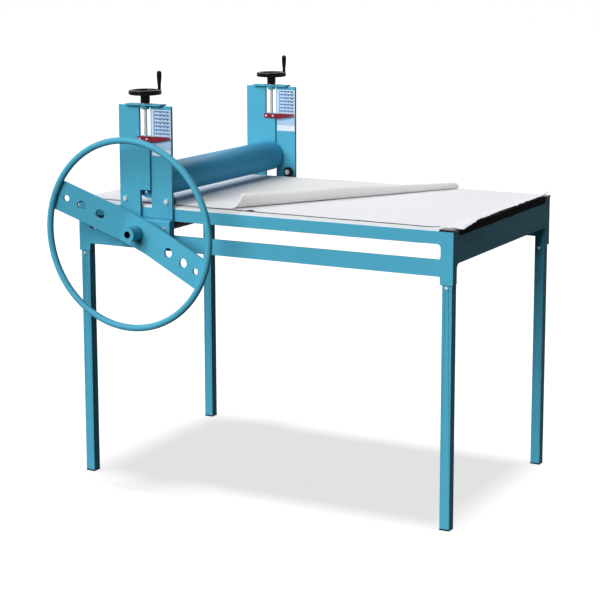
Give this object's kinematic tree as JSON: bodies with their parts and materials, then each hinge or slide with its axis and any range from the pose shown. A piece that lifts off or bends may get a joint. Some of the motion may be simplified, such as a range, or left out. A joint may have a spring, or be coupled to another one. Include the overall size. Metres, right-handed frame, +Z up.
{
  "type": "clay slab roller",
  "caption": "Floor-standing clay slab roller: steel table with a canvas-covered bed and a geared roller carriage with handwheels and a drive wheel.",
  "frame": {"origin": "on the floor below the middle of the whole machine's outline, the drive wheel included", "axes": "+X along the bed towards the end away from the parked carriage, +Y across the bed away from the drive wheel, +Z up"},
  "size_m": [1.0555, 0.761, 1.0285],
  "materials": {
    "frame_blue": "satin turquoise powder coat",
    "black_plastic": "moulded black",
    "black_gloss": "glossy black",
    "zinc": "zinc-plated",
    "steel": "machined",
    "board": "laminated board",
    "canvas": "cotton canvas",
    "roller_blue": "glossy blue paint",
    "pointer_red": "painted red",
    "scale": "printed plate"
  },
  "bodies": {
    "table": {"front_apron": "frame_blue", "rear_apron": "frame_blue", "left_end_panel": "frame_blue", "right_end_panel": "frame_blue", "leg_front_left": "frame_blue", "leg_front_right": "frame_blue", "leg_rear_left": "frame_blue", "leg_rear_right": "frame_blue", "foot_front_left": "black_plastic", "foot_front_right": "black_plastic", "foot_rear_left": "black_plastic", "foot_rear_right": "black_plastic", "corner_front_left": "black_plastic", "corner_front_right": "black_plastic", "corner_rear_left": "black_plastic", "corner_rear_right": "black_plastic", "leg_bolts": "zinc", "bed_board": "board", "front_rack": "steel", "rear_rack": "steel", "lower_canvas": "canvas", "upper_canvas": "canvas"},
    "carriage": {"front_post": "frame_blue", "rear_post": "frame_blue", "front_cap": "frame_blue", "rear_cap": "frame_blue", "front_bracket": "frame_blue", "rear_bracket": "frame_blue", "bracket_bolts": "zinc", "guide_screws": "zinc", "front_scale": "scale", "rear_scale": "scale"},
    "drive_shaft_body": {"drive_shaft": "steel", "front_pinion": "steel", "rear_pinion": "steel", "wheel_rim": "frame_blue", "wheel_bar": "frame_blue", "wheel_hub": "frame_blue"},
    "yoke": {"front_block": "frame_blue", "rear_block": "frame_blue", "front_pointer": "pointer_red", "rear_pointer": "pointer_red", "pointer_rivets": "zinc"},
    "roller": {"pressing_roller": "roller_blue"},
    "front_spindle_body": {"front_spindle": "zinc", "front_collar": "zinc", "front_handwheel": "black_gloss"},
    "rear_spindle_body": {"rear_spindle": "zinc", "rear_collar": "zinc", "rear_handwheel": "black_gloss"},
    "front_handle_body": {"front_handle": "black_gloss"},
    "rear_handle_body": {"rear_handle": "black_gloss"},
    "guide_front_left_body": {"guide_front_left": "black_plastic"},
    "guide_front_right_body": {"guide_front_right": "black_plastic"},
    "guide_rear_left_body": {"guide_rear_left": "black_plastic"},
    "guide_rear_right_body": {"guide_rear_right": "black_plastic"}
  },
  "joints": [
    {"name": "carriage_travel", "type": "slide", "parent": "table", "child": "carriage", "axis": [1, 0, 0], "range_m": [-0.1, 0.7]},
    {"name": "drive_wheel_turn", "type": "hinge", "parent": "carriage", "child": "drive_shaft_body", "pos_m": [-0.29225, 0.0275, 0.641], "axis": [0, 1, 0], "range_deg": [-1672.1, 239.7]},
    {"name": "roller_lift", "type": "slide", "parent": "carriage", "child": "yoke", "axis": [0, 0, 1], "range_m": [-0.012, 0.05]},
    {"name": "roller_turn", "type": "hinge", "parent": "yoke", "child": "roller", "pos_m": [-0.29225, 0.0275, 0.757], "axis": [0, 1, 0], "range_deg": [-144.2, 1003.7]},
    {"name": "front_spindle_turn", "type": "hinge", "parent": "carriage", "child": "front_spindle_body", "pos_m": [-0.29225, -0.2855, 0.9], "axis": [0, 0, 1], "range_deg": [-6001, 1441]},
    {"name": "rear_spindle_turn", "type": "hinge", "parent": "carriage", "child": "rear_spindle_body", "pos_m": [-0.29225, 0.3405, 0.9], "axis": [0, 0, 1], "range_deg": [-6001, 1441]},
    {"name": "front_handle_spin", "type": "hinge", "parent": "front_spindle_body", "child": "front_handle_body", "pos_m": [-0.26208, -0.26877, 1], "axis": [0, 0, 1], "continuous": true},
    {"name": "rear_handle_spin", "type": "hinge", "parent": "rear_spindle_body", "child": "rear_handle_body", "pos_m": [-0.26208, 0.35723, 1], "axis": [0, 0, 1], "continuous": true},
    {"name": "guide_front_left_turn", "type": "hinge", "parent": "carriage", "child": "guide_front_left_body", "pos_m": [-0.35125, -0.2715, 0.7145], "axis": [0, 1, 0], "range_deg": [-441.7, 3086.2]},
    {"name": "guide_front_right_turn", "type": "hinge", "parent": "carriage", "child": "guide_front_right_body", "pos_m": [-0.23325, -0.2715, 0.7145], "axis": [0, 1, 0], "range_deg": [-441.7, 3086.2]},
    {"name": "guide_rear_left_turn", "type": "hinge", "parent": "carriage", "child": "guide_rear_left_body", "pos_m": [-0.35125, 0.3265, 0.7145], "axis": [0, 1, 0], "range_deg": [-441.7, 3086.2]},
    {"name": "guide_rear_right_turn", "type": "hinge", "parent": "carriage", "child": "guide_rear_right_body", "pos_m": [-0.23325, 0.3265, 0.7145], "axis": [0, 1, 0], "range_deg": [-441.7, 3086.2]}
  ],
  "couplings": [
    {"joint": "drive_wheel_turn", "follows": "carriage_travel", "rad_per_m": -41.667},
    {"joint": "roller_turn", "follows": "carriage_travel", "rad_per_m": 25},
    {"joint": "front_spindle_turn", "follows": "roller_lift", "rad_per_m": -2094.4},
    {"joint": "rear_spindle_turn", "follows": "roller_lift", "rad_per_m": -2094.4},
    {"joint": "guide_front_left_turn", "follows": "carriage_travel", "rad_per_m": 76.923},
    {"joint": "guide_front_right_turn", "follows": "carriage_travel", "rad_per_m": 76.923},
    {"joint": "guide_rear_left_turn", "follows": "carriage_travel", "rad_per_m": 76.923},
    {"joint": "guide_rear_right_turn", "follows": "carriage_travel", "rad_per_m": 76.923}
  ]
}
